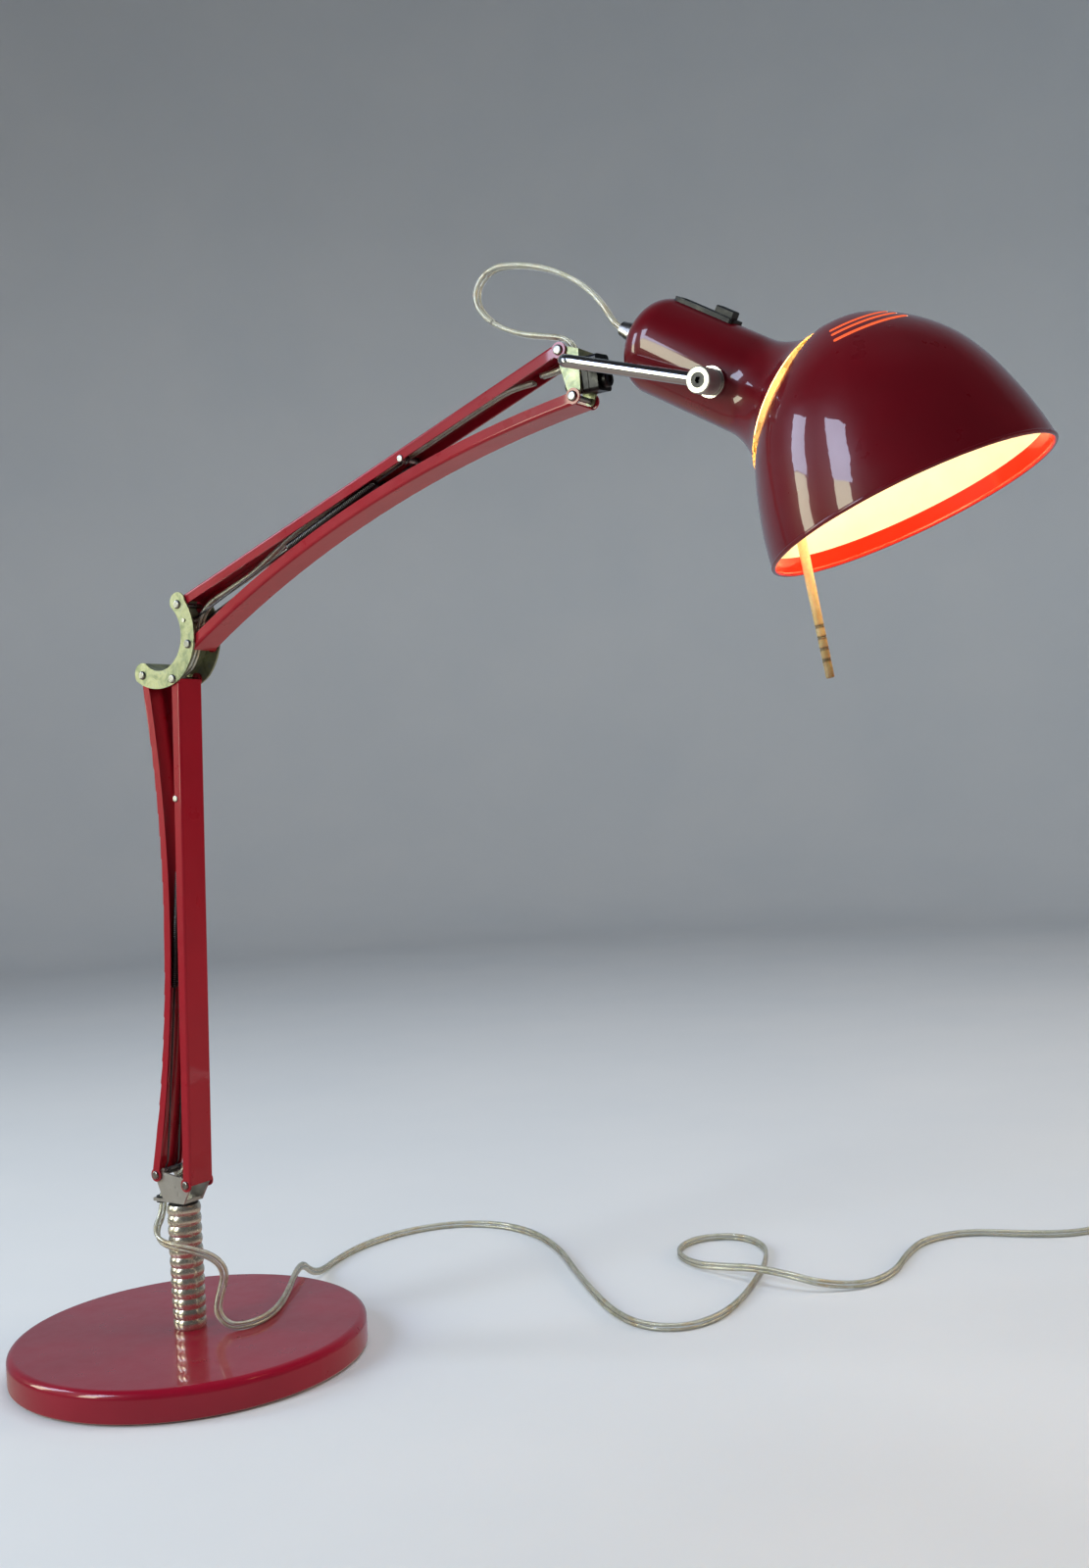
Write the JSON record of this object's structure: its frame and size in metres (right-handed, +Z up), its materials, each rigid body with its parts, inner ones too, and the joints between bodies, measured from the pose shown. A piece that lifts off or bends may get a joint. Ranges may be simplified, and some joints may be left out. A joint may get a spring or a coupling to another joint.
{
  "type": "architect desk lamp",
  "caption": "Desk lamp with a round weighted base, ringed post, two parallelogram arms with balance springs, and a domed shade in a U yoke.",
  "frame": {"origin": "centre of the round base's underside, on the surface it stands on", "axes": "+Z up, +X the direction the arms reach at rest, +Y to the left of that"},
  "size_m": [0.7105, 0.6514, 0.6264],
  "materials": {
    "red_enamel": "gloss",
    "chrome": "polished",
    "zinc_steel": "yellow passivated",
    "steel": "satin",
    "spring_steel": "drawn wire",
    "black_steel": "satin",
    "black_plastic": "satin",
    "felt": "matt",
    "clear_flex": "clear PVC over tinned conductors",
    "cream_plastic": "translucent",
    "white_plastic": "gloss",
    "plated_brass": "nickel plated",
    "lit_glass": "opal"
  },
  "bodies": {
    "base": {"base_disc": "red_enamel", "base_felt": "felt", "base_bolt": "steel", "post_tube": "chrome", "post_bush": "black_plastic", "mains_cord": "clear_flex", "cord_coil": "clear_flex", "plug_body": "white_plastic", "plug_pins": "plated_brass"},
    "foot": {"foot_spindle": "steel", "foot_clip": "steel", "foot_bracket": "chrome", "foot_grommet": "black_plastic", "foot_rivets": "steel", "foot_spring_pin": "steel", "foot_cable": "clear_flex"},
    "lower_rear_link": {"lower_rear_link": "red_enamel"},
    "lower_front_link": {"lower_front_link": "red_enamel", "lower_spring_pin": "steel", "lower_springs": "spring_steel", "lower_cable": "clear_flex"},
    "elbow": {"elbow_bracket": "zinc_steel", "elbow_rivets": "zinc_steel", "elbow_spring_pin": "steel", "elbow_cable_low": "clear_flex"},
    "upper_top_link": {"upper_top_link": "red_enamel", "upper_spring_pin": "steel", "upper_springs": "spring_steel", "upper_cable": "clear_flex", "elbow_cable_high": "clear_flex"},
    "upper_bottom_link": {"upper_bottom_link": "red_enamel"},
    "head_bracket": {"head_bracket": "zinc_steel", "head_rivets": "steel", "clamp_washer": "steel"},
    "clamp": {"clamp_back": "black_steel", "clamp_front": "black_steel", "clamp_bolt": "black_steel", "clamp_nut": "black_steel"},
    "yoke": {"yoke_rod": "chrome", "yoke_boss_near": "chrome", "yoke_boss_far": "chrome", "boss_screw_near": "black_steel", "boss_screw_far": "black_steel", "boss_washer_near": "black_plastic", "boss_washer_far": "black_plastic"},
    "head": {"neck_shell": "red_enamel", "switch_frame": "black_plastic", "cable_gland": "steel", "holder_plate": "zinc_steel", "shade_arm_upper": "zinc_steel", "shade_arm_lower": "zinc_steel", "lamp_holder": "white_plastic", "bulb_cap": "plated_brass", "bulb_glass": "lit_glass", "shade_dome": "red_enamel", "tilt_rod": "cream_plastic", "tilt_rod_socket": "zinc_steel", "head_cable": "clear_flex"},
    "switch": {"switch_slider": "black_plastic"}
  },
  "joints": [
    {"name": "foot_swivel", "type": "hinge", "parent": "base", "child": "foot", "pos_m": [0, 0, 0.0985], "axis": [0, 0, 1], "range_deg": [-170, 170]},
    {"name": "lower_arm", "type": "hinge", "parent": "foot", "child": "lower_front_link", "pos_m": [0.0133, 0, 0.1118], "axis": [0, 1, 0], "range_deg": [-33, 46], "deforming": ["lower_springs", "foot_cable"]},
    {"name": "lower_rear", "type": "hinge", "parent": "foot", "child": "lower_rear_link", "pos_m": [-0.0132, 0, 0.1161], "axis": [0, 1, 0], "range_deg": [-33, 46]},
    {"name": "elbow_level", "type": "hinge", "parent": "lower_front_link", "child": "elbow", "pos_m": [0.02866, 0, 0.42582], "axis": [0, 1, 0], "range_deg": [-46, 33], "deforming": ["elbow_cable_low"]},
    {"name": "upper_arm", "type": "hinge", "parent": "elbow", "child": "upper_top_link", "pos_m": [0.0365, 0, 0.4708], "axis": [0, -1, 0], "range_deg": [-40, 35], "deforming": ["upper_springs", "elbow_cable_high"]},
    {"name": "upper_bottom", "type": "hinge", "parent": "elbow", "child": "upper_bottom_link", "pos_m": [0.0438, 0, 0.4458], "axis": [0, -1, 0], "range_deg": [-40, 35]},
    {"name": "head_level", "type": "hinge", "parent": "upper_top_link", "child": "head_bracket", "pos_m": [0.3245, 0, 0.56997], "axis": [0, -1, 0], "range_deg": [-35, 40]},
    {"name": "clamp_roll", "type": "hinge", "parent": "head_bracket", "child": "clamp", "pos_m": [0.338, 0, 0.5525], "axis": [1, 0, 0], "range_deg": [-90, 90]},
    {"name": "yoke_tilt", "type": "hinge", "parent": "clamp", "child": "yoke", "pos_m": [0.34, -0.00087, 0.56075], "axis": [0, 0.9945, 0.1045], "range_deg": [-60, 60]},
    {"name": "head_tilt", "type": "hinge", "parent": "yoke", "child": "head", "pos_m": [0.41916, 0.00174, 0.53593], "axis": [0, 0.9945, 0.1045], "range_deg": [-12, 82], "deforming": ["head_cable"]},
    {"name": "switch_slide", "type": "slide", "parent": "head", "child": "switch", "axis": [0.8563, 0.054, -0.5137], "range_m": [-0.012, 0]}
  ],
  "couplings": [
    {"joint": "lower_rear", "follows": "lower_arm", "ratio": 1},
    {"joint": "elbow_level", "follows": "lower_arm", "ratio": -1},
    {"joint": "upper_bottom", "follows": "upper_arm", "ratio": 1},
    {"joint": "head_level", "follows": "upper_arm", "ratio": -1}
  ]
}
